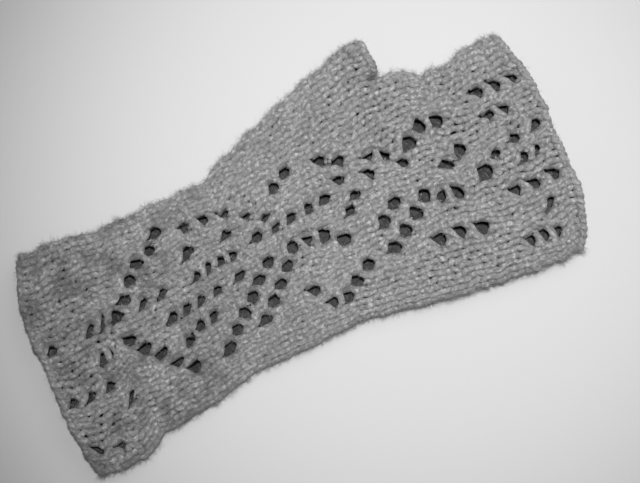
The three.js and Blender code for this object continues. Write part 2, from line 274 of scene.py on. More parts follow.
# %% Lace chart
EYELET_RUNS = [
    dict(row=12.1, column=12.9, count=2, rows=1.75, columns=1.18, size=1.1),
    dict(row=15.3, column=15.7, count=2, rows=1.85, columns=1.2, size=1.15),
    dict(row=19.1, column=17.6, count=2, rows=1.75, columns=1.15, size=1.05),
    dict(row=24.6, column=18.2, count=3, rows=2.7, columns=-0.3, size=0.9),
    dict(row=12.1, column=10.1, count=5, rows=1.6, columns=-1.38, size=1.1),
    dict(row=15.6, column=13.0, count=2, rows=3.1, columns=0.1, size=0.8),
    dict(row=18.6, column=10.2, count=4, rows=2.15, columns=0, size=0.9),
    dict(row=19.5, column=7.3, count=3, rows=1.9, columns=0.4, size=1.0),
    dict(row=23.6, column=12.8, count=4, rows=1.75, columns=0.12, size=0.85),
    dict(row=23.8, column=15.6, count=2, rows=5.6, columns=0, size=1.05),
    dict(row=23.8, column=4.1, count=6, rows=1.8, columns=1.25, size=1.15),
    dict(row=29.5, column=5.1, count=5, rows=1.75, columns=1.4, size=1.2),
    dict(row=32.5, column=16.1, count=2, rows=2.5, columns=-1.3, size=0.9),
    dict(row=32.9, column=13.6, count=5, rows=2.5, columns=0.05, size=0.95),
    dict(row=38.7, column=11.0, count=3, rows=2.1, columns=-0.95, size=1.25),
    dict(row=36.9, column=5.3, count=2, rows=1.8, columns=-1.9, size=1.0),
    dict(row=40.4, column=3.3, count=3, rows=2.05, columns=1.2, size=1.1),
    dict(row=48.7, column=6.5, count=4, rows=2.1, columns=1.15, size=1.2),
    dict(row=48.9, column=9.3, count=2, rows=2.0, columns=1.1, size=1.15),
    dict(row=37.4, column=17.5, count=2, rows=1.9, columns=0.9, size=1.05),
    dict(row=44.3, column=17.7, count=2, rows=2.3, columns=-1.1, size=0.9),
    dict(row=50.4, column=15.8, count=3, rows=1.8, columns=-1.05, size=0.95),
    dict(row=45.2, column=11.8, count=2, rows=1.6, columns=0.9, size=0.9),
    dict(row=45.6, column=14.7, count=2, rows=4.0, columns=-0.6, size=0.9),
    dict(row=56.8, column=9.7, count=2, rows=2.0, columns=-0.1, size=1.15),
    dict(row=56.0, column=15.4, count=3, rows=2.0, columns=0.7, size=1.2),
    dict(row=54.5, column=5.9, count=3, rows=2.75, columns=-0.1, size=1.1),
    dict(row=59.4, column=12.3, count=2, rows=2.0, columns=1.2, size=1.15),
    dict(row=63.3, column=11.0, count=1, rows=0, columns=0, size=1.4),
    dict(row=28.9, column=10.8, count=1, rows=0, columns=0, size=0.9),
    dict(row=2.4, column=2.5, count=2, rows=3.3, columns=-0.4, size=0.85),
    dict(row=9.6, column=5.6, count=1, rows=0, columns=0, size=0.85),
    dict(row=2.2, column=7.5, count=3, rows=2.7, columns=0, size=0.85),
    dict(row=8.0, column=10.0, count=2, rows=1.9, columns=0.1, size=0.9),
    dict(row=2.7, column=12.7, count=1, rows=0, columns=0, size=0.85),
    dict(row=8.2, column=13.0, count=2, rows=1.8, columns=0, size=1.0),
    dict(row=65.4, column=3.0, count=3, rows=1.9, columns=-0.1, size=1.15),
    dict(row=69.7, column=5.7, count=1, rows=0, columns=0, size=0.9),
    dict(row=66.0, column=8.0, count=3, rows=2.8, columns=-0.2, size=1.05),
    dict(row=68.9, column=10.5, count=2, rows=1.8, columns=0, size=0.95),
    dict(row=65.4, column=11.9, count=3, rows=3.25, columns=0.4, size=1.1),
    dict(row=67.0, column=15.3, count=2, rows=2.0, columns=-0.1, size=0.95),
    dict(row=66.8, column=17.6, count=3, rows=2.45, columns=-0.1, size=1.1),
]
BORDER_EYELET = 0.8


def hand_back(row):
    """The length in millimetres of the hand's own stitches on the back, without the gusset's."""
    return np.interp(row * ROW, STATIONS, TABLES["hand"][1])


def chart():
    """Each eyelet's place in millimetres along the arm and across the back, its stitch and size."""
    taken = set()
    found = []
    for run in EYELET_RUNS:
        for k in range(run["count"]):
            row = run["row"] + k * run["rows"]
            column = run["column"] + k * run["columns"]
            stitch = (round(row - 0.5), round(column / COLUMNS * BACK_WALES - 0.5))
            if stitch in taken:
                stitch = (stitch[0] + 1, stitch[1])
            taken.add(stitch)
            across = column / COLUMNS * hand_back(row)
            lean = 1 if run["columns"] >= 0 else -1
            in_border = row < WRIST_BORDER_ROWS or row > FINGER_BORDER_ROW
            size = run["size"] * (BORDER_EYELET if in_border else 1.0)
            found.append((row * ROW, across, stitch[0], stitch[1], size, lean))
    return np.array(found)


EYELETS = chart()
OVERS = {(int(e[2]), int(e[3])) for e in EYELETS}
DECREASES = {(int(e[2]) - 1, int(e[3])): int(e[5]) for e in EYELETS}
print("eyelets:", len(EYELETS))

# %% [markdown]
# How eyelets push the yarn
#
# Around an eyelet the neighbouring strands are drawn aside and bunch up against each other. Holes
# could be cut with a boolean, but that would leave cut ends of yarn. A smooth field keeps every
# strand whole: it first slides the charted stitch over its eyelet and then opens the hole.

# %% Eyelet field
EYELET_RADIUS = 2.9
OVER_SHIFT = 0.3
SLIDE_REACH = 5.0
PUSH_REACH = 2.3
TINY = 1e-6

stitch_along = (EYELETS[:, 2] + 0.5) * ROW + OVER_SHIFT
stitch_across = (EYELETS[:, 3] + 0.5) / BACK_WALES * hand_back(EYELETS[:, 2] + 0.5)
SLIDES = np.stack([EYELETS[:, 0] - stitch_along, EYELETS[:, 1] - stitch_across], axis=1)


def drawn_aside(along, across):
    """The places of yarn points once the eyelets have moved them, in millimetres."""
    da = along[:, None] - stitch_along
    ds = across[:, None] - stitch_across
    pull = np.exp(-(da**2 + ds**2) / SLIDE_REACH**2)
    total = np.maximum(1.0, pull.sum(axis=1))
    along = along + (pull * SLIDES[:, 0]).sum(axis=1) / total
    across = across + (pull * SLIDES[:, 1]).sum(axis=1) / total
    da = along[:, None] - EYELETS[:, 0]
    ds = across[:, None] - EYELETS[:, 1]
    away = np.hypot(da, ds) + TINY
    radius = EYELET_RADIUS * EYELETS[:, 4]
    fade = np.exp(-((away / (PUSH_REACH * radius)) ** 2))
    push = (np.sqrt(away**2 + radius**2) - away) * fade
    return along + (push * da / away).sum(axis=1), across + (push * ds / away).sum(axis=1)


print("longest slide of a stitch:", round(float(np.abs(SLIDES).max()), 1), "mm")

# %% [markdown]
# Uneven hands, ridges and ribs
#
# Hand knitting is never even, so slow waves move rows and wales a little. Decreases lay two stitches
# on each other, which stands out in ridges, and the borders' rib sinks between soft bumps. All of it
# could be sculpted, but sums of waves and a few straight ridges reach every strand in the same way.

# %% Unevenness and relief
WAVES = [
    dict(size=0.3, along=1 / 17, across=1 / 23, start=0.7),
    dict(size=0.22, along=1 / 9, across=-1 / 12, start=2.1),
    dict(size=0.1, along=-1 / 6.3, across=1 / 7.1, start=4.0),
]
ACROSS_PACE = 1.3
ACROSS_START = 1.0
RIDGES = [
    dict(row=25.8, column=4.0, to_row=36.5, to_column=12.2, height=0.7),
    dict(row=12.6, column=11.5, to_row=22.5, to_column=17.6, height=0.4),
    dict(row=13.0, column=11.2, to_row=20.5, to_column=4.8, height=0.4),
    dict(row=38.8, column=5.2, to_row=47.5, to_column=9.6, height=0.45),
]
RIDGE_WIDTH = 3.4
RIB = dict(depth=0.3, columns=2.43, start=3.2)
BUMPS = dict(height=0.35, rows=4.1, slant=0.9, across=1.9, drift=0.4)


def uneven(along, across):
    move_along = np.zeros(len(along))
    move_across = np.zeros(len(along))
    for wave in WAVES:
        phase = 2 * np.pi * (along * wave["along"] + across * wave["across"]) + wave["start"]
        move_along += wave["size"] * np.sin(phase)
        move_across += wave["size"] * np.cos(phase * ACROSS_PACE + ACROSS_START)
    return move_along, move_across


def relief(along, column, border):
    """How far the fabric stands out over ridges, and sinks and swells in the borders' rib."""
    out = np.zeros(len(along))
    row = along / ROW
    for ridge in RIDGES:
        start = np.array([ridge["row"] * ROW, ridge["column"] * COLUMN])
        line = np.array([ridge["to_row"] * ROW, ridge["to_column"] * COLUMN]) - start
        place = np.stack([row * ROW, column * COLUMN], axis=1) - start
        t = (place @ line / (line @ line)).clip(0, 1)
        gap = np.linalg.norm(place - t[:, None] * line, axis=1)
        out += ridge["height"] * np.exp(-((gap / (RIDGE_WIDTH / 2)) ** 2))
    if border:
        out -= RIB["depth"] * (1 + np.cos(2 * np.pi * (column - RIB["start"]) / RIB["columns"]))
        along_bumps = np.sin(2 * np.pi * row / BUMPS["rows"] + BUMPS["slant"] * column)
        across_bumps = np.sin(BUMPS["across"] * column + BUMPS["drift"] * row)
        out += BUMPS["height"] * along_bumps * across_bumps
    return out


print("ridges:", len(RIDGES))

# %% [markdown]
# Which stitches a round has
#
# The back and the palm have 18 stitches each. From the gusset's start, stitches are added in pairs at
# the thumb's fold, as a knitter increases, until the shoulder. Spreading the same number of stitches
# over the wider rounds would be simpler, but the wales of the hand would fan out, and they run straight.

# %% Stitches of a round


def wale_edges(row):
    """A round's table, its stitches' edges as shares of the way round, and its back's length."""
    kind = "gusset" if row < SHOULDER_ROW else "hand"
    along = (row + 0.5) * ROW
    back = np.interp(along, STATIONS, TABLES[kind][1])
    hand = min(back, np.interp(along, STATIONS, TABLES["hand"][1]))
    if kind == "gusset" and along > GUSSET_FOLD["along"][0]:
        little = read(LITTLE_FINGER_FOLD, "across", along)
        side = read(THUMB_SIDE_FOLD, "across", along)
        hand = back - (read(GUSSET_FOLD, "across", along) - side)
        hand = max(hand, side - little)
    edges = list(np.linspace(0, hand, BACK_WALES + 1))
    extra = back - hand
    count = round(extra / WALE)
    for k in range(count):
        if k == 0 and count > 1:
            edges.append(hand + (extra - (count - 2) * WALE) / 2)
        else:
            edges.append(back - (count - k - 1) * WALE)
    edges[-1] = back
    half = np.array(edges) / back / 2
    shares = np.concatenate([half, 1 - half[::-1][1:]])
    return kind, shares, back


print("stitches in rounds 20 and 50:", len(wale_edges(20)[1]) - 1, len(wale_edges(50)[1]) - 1)

# %% [markdown]
# A round of stitches
#
# Each stitch is one loop: it starts at a foot between two wales, climbs a leg, turns over its head and
# comes down to the next foot. Legs lie on the outside of plain knitting, heads and feet behind them.
# The loop is taller than a row, so its head lies behind the legs of the next round. A woven look could
# be painted on a plain shell, but only real loops give the fabric its holes, shadows and outline.

# %% Stitch loops
POINTS = 16
LOOP_HEIGHT = 2.2
LOOP_DEPTH = 0.5
LOOP_NECK = 0.15
SINK = 0.48
OVER_RISE = 0.22
DECREASE_LEAN = 0.8
LOOP_UNEVEN = dict(height=0.05, neck=0.2, shift=0.1, lift=0.1)
FIELD_FADE = 6.0


def loops(row, shares):
    """Shares of the way round, climbs, lifts and depths of a round's points, before the lace."""
    count = len(shares) - 1
    turn = np.tile(np.arange(POINTS) / POINTS * 2 * np.pi, count)
    index = np.repeat(np.arange(count), POINTS)
    width = np.diff(shares)
    tall = LOOP_HEIGHT * (1 + LOOP_UNEVEN["height"] * rng.standard_normal(count))
    neck = LOOP_NECK * (1 + LOOP_UNEVEN["neck"] * rng.standard_normal(count))
    shift = LOOP_UNEVEN["shift"] * rng.standard_normal(count)
    over = np.array([(row, k) in OVERS for k in range(count)])
    lean = np.array([DECREASES.get((row, k), 0) for k in range(count)])
    head = ((1 - np.cos(turn)) / 2) ** 2
    share = shares[index] + width[index] * (turn / (2 * np.pi) + neck[index] * np.sin(2 * turn))
    share = share + DECREASE_LEAN * (lean * width)[index] * head
    climb = -tall[index] * np.cos(turn) + shift[index]
    climb = np.where(over[index], tall[index] - (tall[index] - climb) * OVER_RISE, climb)
    loft = LOOP_UNEVEN["lift"] * rng.standard_normal(count)[index]
    return share, climb, -SINK - LOOP_DEPTH * np.cos(2 * turn) + loft, (1 + np.cos(2 * turn)) / 2


def knit_round(row):
    """The centre line of one round, closed, with outward directions and each point's depth."""
    kind, shares, back = wale_edges(row)
    share, climb, lift, deep = loops(row, shares)
    along = (row + 0.5) * ROW + climb
    across = share * 2 * back
    on_back = share < 0.5
    wave_along, wave_across = uneven(along, across)
    moved_along, moved_across = drawn_aside(along + wave_along, across + wave_across)
    fade = np.clip((back - across) / FIELD_FADE, 0, 1) * np.clip(across / FIELD_FADE, 0, 1)
    inner = np.where(on_back, fade, 0.0)
    along = along + inner * (moved_along - along)
    across = across + inner * (moved_across - across)
    share = np.where(on_back, across / back / 2, share)
    column = np.where(on_back, across, 2 * back - across) / hand_back(row + 0.5) * COLUMNS
    border = row < WRIST_BORDER_ROWS or row >= FINGER_BORDER_ROW
    lift = lift + np.where(on_back | border, relief(along, column, border), 0)
    points, out = on_fabric(kind, along, share, lift)
    return points, out, deep


sample = knit_round(30)
print("a round has", len(sample[0]) // POINTS, "stitches and", len(sample[0]), "points")

# %% [markdown]
# Strands become yarn
#
# A strand is a closed tube with six sides, a little flat and lumpy as spun wool is. A curve with a
# bevel would give the same tube, but no number for each point. The mesh keeps one, a painted shade:
# the wool's colour is darkened where the yarn lies deep in the fabric and on the far side of each
# strand, and most on the far side of the palm's yarn, which is seen through the eyelets and the rims.

# %% Tubes
YARN = 1.28
SIDES = 6
YARN_HEIGHT = 0.95
YARN_WIDTH = 1.04
LUMPINESS = 0.05
LUMP_POINTS = 9
LUMP = np.hanning(LUMP_POINTS) / np.linalg.norm(np.hanning(LUMP_POINTS))
FLOOR = 0.03
AROUND = np.arange(SIDES)
ANGLES = AROUND / SIDES * 2 * np.pi

# Painted shade stored on each point: darker deep in the fabric, on each strand's far side and inside the
# palm.
DEEP_SHADE = 0.5
REAR_SHADE = 0.25
INSIDE_SHADE = 0.9
PALM_DOWN = -0.3
INNER_SIDE = 0.3


def strand_tube(points, out):
    """Rings of points round a strand, none of them under the table."""
    count = len(points)
    ahead = np.roll(points, -1, axis=0) - np.roll(points, 1, axis=0)
    ahead /= np.linalg.norm(ahead, axis=1)[:, None]
    up = out - ahead * (out * ahead).sum(axis=1)[:, None]
    up /= np.linalg.norm(up, axis=1)[:, None]
    aside = np.cross(ahead, up)
    rough = np.tile(rng.standard_normal(count), 3)
    lumps = np.convolve(rough, LUMP, mode="same")[count:2 * count]
    thick = YARN * (1 + LUMPINESS * lumps)[:, None, None]
    upward = np.cos(ANGLES)[None, :, None] * up[:, None, :] * YARN_HEIGHT
    sideways = np.sin(ANGLES)[None, :, None] * aside[:, None, :] * YARN_WIDTH
    tube = points[:, None, :] + thick * (upward + sideways)
    tube[:, :, 2] = np.maximum(tube[:, :, 2], FLOOR)
    return tube


def strand_painted_shade(out, deep):
    """Painted shade for each point of a tube: 0 on its face, more on its far side, deep in the fabric
    and inside the palm.
    """
    facing = np.cos(ANGLES)[None, :]
    outside = deep[:, None] * DEEP_SHADE + REAR_SHADE * (1 - facing)
    inside = (out[:, 2:] < PALM_DOWN) & (facing < INNER_SIDE)
    return np.maximum(outside, np.where(inside, INSIDE_SHADE, 0.0))


print("yarn is", round(2 * YARN * YARN_WIDTH, 1), "mm wide")

# %% [markdown]
# Meshes of yarn
#
# The UV map runs along and round each strand, so the plies and the drift of the wool can follow it.
# Adding a lane's number across the map gives every strand its own wool. An operator could bridge the
# rings of each tube, but it would carry neither this map nor the depths. So the tubes are written as
# arrays, in one step for each strand.

# %% Yarn meshes
UV_LENGTH = 10.0
LANE = 37


def strand_faces(points, number):
    """Quads of one closed tube, and their corners on the yarn's UV map."""
    count = len(points)
    i, j = np.meshgrid(np.arange(count), AROUND, indexing="ij")
    i2 = (i + 1) % count
    j2 = (j + 1) % SIDES
    quads = np.stack([i * SIDES + j, i * SIDES + j2, i2 * SIDES + j2, i2 * SIDES + j], axis=-1)
    steps = np.linalg.norm(np.roll(points, -1, axis=0) - points, axis=1)
    u = np.concatenate([[0], np.cumsum(steps)]) / UV_LENGTH
    low = j / SIDES + LANE * number
    high = (j + 1) / SIDES + LANE * number
    places = [(u[i], low), (u[i], high), (u[i + 1], high), (u[i + 1], low)]
    uvs = np.stack([np.stack(place, axis=-1) for place in places], axis=-2)
    return quads.reshape(-1, 4), uvs.reshape(-1, 2)


def finished_mesh(name, vertices, corners, uvs, painted_shade, slot, nodes):
    vertices = (vertices - np.array([*CENTRE, 0.0])) * MM
    mesh = bpy.data.meshes.new(name)
    per_face = corners.shape[1]
    mesh.vertices.add(len(vertices))
    mesh.vertices.foreach_set("co", vertices.astype(np.float32).ravel())
    mesh.loops.add(corners.size)
    mesh.loops.foreach_set("vertex_index", corners.astype(np.int32).ravel())
    mesh.polygons.add(len(corners))
    mesh.polygons.foreach_set("loop_start", np.arange(0, corners.size, per_face, dtype=np.int32))
    mesh.uv_layers.new(name="yarn")
    mesh.uv_layers["yarn"].data.foreach_set("uv", uvs.astype(np.float32).ravel())
    # Each point keeps its painted shade, which the wool's material reads.
    mesh.attributes.new(name="painted_shade", type="FLOAT", domain="POINT")
    mesh.attributes["painted_shade"].data.foreach_set("value", painted_shade.astype(np.float32))
    mesh.update(calc_edges=True)
    mesh.validate()
    mesh.shade_smooth()
    piece = bpy.data.objects.new(name, mesh)
    bpy.context.scene.collection.objects.link(piece)
    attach(piece, "root")
    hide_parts(*nodes)
    triangles = len(corners) * (per_face - 2)
    print(name, "has", triangles, "triangles")
    return piece


def yarn_mesh(name, strands, slot, nodes):
    """Joins closed strands, each (points, outward directions, depths), into one mesh of yarn."""
    vertices = []
    painted_shade = []
    corners = []
    uvs = []
    base = 0
    for number, (points, out, deep) in enumerate(strands):
        vertices.append(strand_tube(points, out).reshape(-1, 3))
        painted_shade.append(strand_painted_shade(out, deep).ravel())
        quads, quad_uvs = strand_faces(points, number)
        corners.append(quads + base)
        uvs.append(quad_uvs)
        base += len(points) * SIDES
    joined = [np.concatenate(parts) for parts in (vertices, corners, uvs, painted_shade)]
    return finished_mesh(name, *joined, slot, nodes)


print("each stitch has", POINTS * SIDES, "quads")

# %% [markdown]
# The knitted sections
#
# The rounds are shared out in the order they were worked: the cuff, the hand below, beside and above
# the thumb, and the border at the fingers. The hand could be one mesh, but its many stitches would
# make it too heavy for its own file, so it is three.

# %% Knit the mitt
SECTIONS = [
    dict(name="wrist_border_knit", rows=(1, 11), nodes=("wrist_border",)),
    dict(name="hand_knit_wrist_part", rows=(11, 31), nodes=("hand_tube",)),
    dict(name="hand_knit_gusset_part", rows=(31, 49), nodes=("hand_tube",)),
    dict(name="hand_knit_finger_part", rows=(49, 65), nodes=("hand_tube",)),
    dict(name="finger_border_knit", rows=(65, 73), nodes=("finger_border",)),
]
knitting = []
all_strands = []
for part in SECTIONS:
    rounds = [knit_round(row) for row in range(*part["rows"])]
    all_strands += rounds
    knitting.append(yarn_mesh(part["name"], rounds, "tweed_wool", part["nodes"]))

# %% [markdown]
# The bound edges
#
# Cast-on and bound-off edges are a chain of stitches lying on their side, which reads as a cord
# twisted of two strands round the rim. The chain could be looped stitch by stitch, but at this size
# two strands that wind round each other look the same. They are uneven, as a hand pulls them.

# %% Rims of the wrist and the fingers
ROPE_RADIUS = 0.55
ROPE_POINTS = 10
ROPE_UNEVEN = 0.5
ROPE_SMOOTH = 7
ROPE_SINK = 0.35
CAST_ON_FROM_END = 2.8
BIND_OFF_FROM_END = 1.9


def rope(kind, along, phase):
    """One strand of a rim's cord, winding round the rim's middle once in each stitch."""
    back = np.interp(along, STATIONS, TABLES[kind][1])
    turns = round(2 * back / WALE)
    count = turns * ROPE_POINTS
    share = np.arange(count) / count
    turn = 2 * np.pi * (turns * share) + phase
    loose = np.repeat(1 + ROPE_UNEVEN * rng.standard_normal(turns), ROPE_POINTS)
    even = np.ones(ROPE_SMOOTH) / ROPE_SMOOTH
    loose = np.convolve(np.tile(loose, 3), even, mode="same")[count:2 * count]
    x = np.full(count, along) + ROPE_RADIUS * loose * np.cos(turn)
    points, out = on_fabric(kind, x, share, ROPE_RADIUS * loose * np.sin(turn) - ROPE_SINK)
    return points, out, (1 - np.sin(turn)) / 2


def rim(name, along, node):
    strands = [rope("hand", along, 0.0), rope("hand", along, np.pi)]
    all_strands.extend(strands)
    return yarn_mesh(name, strands, "tweed_wool_edge", (node,))


cast_on = rim("cast_on_knit", CAST_ON_FROM_END, "cast_on_edge")
bind_off = rim("finger_bind_off_knit", LENGTH - BIND_OFF_FROM_END, "finger_bind_off")

# %% [markdown]
# The thumb's rim
#
# The thumb's sleeve ends in one round of stitches and a bound-off chain. Its opening lies beside the
# hand's own sections, so it has a small oval of its own. The oval's outer corner is drawn back, where
# the thumb's fold would otherwise end in a point, and the round wanders a little.

# %% Rim of the thumb
THUMB_STITCHES = 9
THUMB_ROUND = 0.2
THUMB_RIM = dict(start=165.3, chain=169.1, across=59.2, half_width=6.7, half_height=4.0, square=3.0)
THUMB_LOFT_AT = 165.0
THUMB_CORNER = dict(back=3.4, sharpness=6, aside=0.35)
THUMB_WANDER = dict(size=0.4, turns=3, start=1.0)


def thumb_ring(angle, along, lift):
    """Points round the thumb opening, a squarish oval, and their outward directions."""
    share = np.cos(angle)
    square = THUMB_RIM["square"]
    rise = np.sign(np.sin(angle)) * (1 - np.abs(share) ** square).clip(0) ** (1 / square)
    middle = read(LOFT, "height", THUMB_LOFT_AT) / 2
    corner = THUMB_CORNER["back"] * share.clip(0) ** THUMB_CORNER["sharpness"]
    y = THUMB_RIM["across"] + share * (THUMB_RIM["half_width"] + lift) - THUMB_CORNER["aside"] * corner
    z = middle + rise * (THUMB_RIM["half_height"] + lift)
    wander = np.sin(THUMB_WANDER["turns"] * angle + THUMB_WANDER["start"])
    x = along - corner + THUMB_WANDER["size"] * wander
    out = np.stack([np.zeros(len(y)), share**3, np.sign(rise) * np.abs(rise) ** 2], axis=1)
    out /= np.linalg.norm(out, axis=1)[:, None]
    return np.stack([x, y, z], axis=1), out


def thumb_round(row):
    t = np.tile(np.arange(POINTS) / POINTS * 2 * np.pi, THUMB_STITCHES)
    index = np.repeat(np.arange(THUMB_STITCHES), POINTS)
    turn = (index + t / (2 * np.pi) + LOOP_NECK * np.sin(2 * t)) / THUMB_STITCHES
    along = THUMB_RIM["start"] + row * ROW - LOOP_HEIGHT * np.cos(t)
    points, out = thumb_ring(np.pi * (1 - 2 * turn), along, -LOOP_DEPTH * np.cos(2 * t))
    return points, out, (1 + np.cos(2 * t)) / 2


def thumb_rope(phase):
    turn = np.arange(THUMB_STITCHES * ROPE_POINTS) / (THUMB_STITCHES * ROPE_POINTS)
    wind = 2 * np.pi * turn * THUMB_STITCHES + phase
    along = THUMB_RIM["chain"] + ROPE_RADIUS * np.cos(wind)
    points, out = thumb_ring(np.pi * (1 - 2 * turn), along, ROPE_RADIUS * np.sin(wind))
    return points, out, (1 - np.sin(wind)) / 2


thumb_strands = [thumb_round(THUMB_ROUND), thumb_rope(0.0), thumb_rope(np.pi)]
all_strands += thumb_strands
thumb_edge = yarn_mesh("thumb_bind_off_knit", thumb_strands, "tweed_wool_edge", ("thumb_bind_off",))

# %% [markdown]
# Down on the wool
#
# Wool sheds loose fibres that stand off the yarn and blur the edge of every stitch and of the whole
# mitt. A hair system could grow them, but it leaves no mesh for the model. Each is a thin bent hair
# with three sides that tapers to points. One mesh holds those of the back and one those of the palm.
# More of them stand along the folds, where they show against the table.

# %% Loose fibres
FIBRES = {"back": 30000, "palm": 12000}
FIBRE_RADIUS = 0.065
FIBRE_LENGTH = (1.2, 3.8)
FIBRE_BEND = 0.5
FIBRE_ROOT = 0.8
FIBRE_FLAT = 0.6
FIBRE_RISE = 0.35
# The fibres get a slight painted shade on their colour.
FIBRE_PAINTED_SHADE = 0.05
FIBRE_POINTS = 5
FIBRE_FACES = [(0, 2, 1), (0, 3, 2), (0, 1, 3), (4, 1, 2), (4, 2, 3), (4, 3, 1)]
FOLD_SHARE = 0.2
FOLD_FACING = 0.8


def unit(directions):
    return directions / np.linalg.norm(directions, axis=1)[:, None]


def fibre_roots(strands, side, count):
    points = np.concatenate([strand[0] for strand in strands])
    out = np.concatenate([strand[1] for strand in strands])
    on_side = out[:, 2] >= 0 if side == "back" else out[:, 2] < 0
    points, out = points[on_side], out[on_side]
    at_fold = np.abs(out[:, 1]) > FOLD_FACING
    weight = np.where(at_fold, FOLD_SHARE / at_fold.sum(), (1 - FOLD_SHARE) / (~at_fold).sum())
    picked = rng.choice(len(points), count, p=weight / weight.sum())
    return points[picked], out[picked]


def fibre_mesh(name, strands, side, nodes):
    count = FIBRES[side]
    root, out = fibre_roots(strands, side, count)
    wild = rng.standard_normal((count, 3))
    outward = (wild * out).sum(axis=1)[:, None]
    heading = unit(wild - FIBRE_FLAT * out * outward + FIBRE_RISE * out)
    curl = rng.standard_normal((count, 3))
    curl = unit(curl - heading * (curl * heading).sum(axis=1)[:, None])
    length = rng.uniform(*FIBRE_LENGTH, count)[:, None]
    aside = np.cross(heading, curl)
    start = root + out * YARN * FIBRE_ROOT
    middle = start + heading * length * 0.5
    tip = start + heading * length + curl * length * FIBRE_BEND
    waist = []
    for k in range(3):
        angle = 2 * np.pi * k / 3
        waist.append(middle + FIBRE_RADIUS * (math.cos(angle) * curl + math.sin(angle) * aside))
    points = np.stack([start, *waist, tip], axis=1)
    points[:, :, 2] = np.maximum(points[:, :, 2], FLOOR)
    firsts = np.arange(count)[:, None, None] * FIBRE_POINTS
    corners = (firsts + np.array(FIBRE_FACES)[None]).reshape(-1, 3)
    uvs = np.zeros((corners.size, 2))
    painted_shade = np.full(count * FIBRE_POINTS, FIBRE_PAINTED_SHADE)
    return finished_mesh(name, points.reshape(-1, 3), corners, uvs, painted_shade, "tweed_wool", nodes)


down = [
    fibre_mesh("loose_fibres_back", all_strands, "back", ("hand_tube",)),
    fibre_mesh("loose_fibres_palm", all_strands, "palm", ("hand_tube",)),
]

# %% [markdown]
# Helpers for materials
#
# A wool is many small nodes. They could be placed one by one in the editor. Short helpers for the
# noise, ramp, mix and math nodes keep each of its layers to a line.

# %% Node helpers


def link(tree, source, target):
    tree.links.new(source, target)


def math_node(tree, operation, *values):
    node = tree.nodes.new("ShaderNodeMath")
    node.operation = operation
    for socket, value in zip(node.inputs, values):
        if isinstance(value, (int, float)):
            socket.default_value = value
        else:
            link(tree, value, socket)
    return node.outputs[0]


def noise(tree, vector, scale, detail=2.0, rough=0.5):
    node = tree.nodes.new("ShaderNodeTexNoise")
    node.inputs["Scale"].default_value = scale
    node.inputs["Detail"].default_value = detail
    node.inputs["Roughness"].default_value = rough
    link(tree, vector, node.inputs["Vector"])
    return node.outputs[0]


def ramp(tree, value, stops):
    node = tree.nodes.new("ShaderNodeValToRGB")
    elements = node.color_ramp.elements
    while len(elements) < len(stops):
        elements.new(0.5)
    for element, (place, tone) in zip(elements, stops):
        element.position = place
        element.color = (tone, tone, tone, 1.0)
    link(tree, value, node.inputs["Fac"])
    return node.outputs["Color"]


def mix(tree, share, a, b, kind="MIX"):
    node = tree.nodes.new("ShaderNodeMix")
    node.data_type = "RGBA"
    node.blend_type = kind
    for name, value in (("Factor_Float", share), ("A_Color", a), ("B_Color", b)):
        socket = next(s for s in node.inputs if s.identifier == name)
        if isinstance(value, (int, float, tuple)):
            socket.default_value = value
        else:
            link(tree, value, socket)
    return next(s for s in node.outputs if s.identifier == "Result_Color")


print("node helpers:", [helper.__name__ for helper in (link, math_node, noise, ramp, mix)])

# %% [markdown]
# Tweed wool
#
# Tweed is spun from pale and dark fibres, so its grey is mottled, with small pale nubs, and drifts
# slowly along the yarn. One flat grey with a bump would look like plastic. The layers are: the wool's
# own greys, then painted shade on yarn that lies deep in the fabric, then soft patches all over, and a
# painted shade over the cuff, darker and blotched, which fades out towards the hand.

# %% Greys of the wool
SCALES = dict(drift=0.9, speck=850.0, nub=720.0, patch=60.0, blotch=105.0, grain=1600.0)
DRIFT_RANGE = (0.3, 0.7)
SPECK_RANGE = (0.36, 0.64)
SPECK_SHARE = 0.6
NUB_STOPS = [(0.56, 0.0), (0.68, 0.5)]
# SHADE_STOPS turns each point's stored depth into painted shade on the wool.
SHADE_STOPS = [(0.0, 1.0), (0.2, 0.83), (0.6, 0.54), (0.9, 0.2)]
PATCH_STOPS = [(0.35, 0.91), (0.65, 1.0)]
# BLOTCH_STOPS, CUFF and CUFF_TONE are painted shade over the cuff: darker and blotched towards the wrist
# rim, fading out towards the hand.
BLOTCH_STOPS = [(0.38, 0.68), (0.56, 1.08)]
CUFF = (-65.0, -5.0)
CUFF_TONE = 0.91
WHITE = (1.0, 1.0, 1.0, 1.0)


def wool_grey(tree, place, uv, dark, light, fleck):
    greys = (dark, light)
    drift = ramp(tree, noise(tree, uv, SCALES["drift"], 3.0), list(zip(DRIFT_RANGE, greys)))
    specks = noise(tree, place, SCALES["speck"], 2.0, 0.7)
    mottled = mix(tree, SPECK_SHARE, drift, ramp(tree, specks, list(zip(SPECK_RANGE, greys))))
    nubs = ramp(tree, noise(tree, place, SCALES["nub"], 1.0), NUB_STOPS)
    return mix(tree, nubs, mottled, (fleck, fleck, fleck, 1.0))


# Painted shade: the wool is darkened by the shade stored on each point of the mesh.
def painted_shade_ramp(tree):
    painted_shade = tree.nodes.new("ShaderNodeAttribute")
    painted_shade.attribute_name = "painted_shade"
    return ramp(tree, painted_shade.outputs["Fac"], SHADE_STOPS)


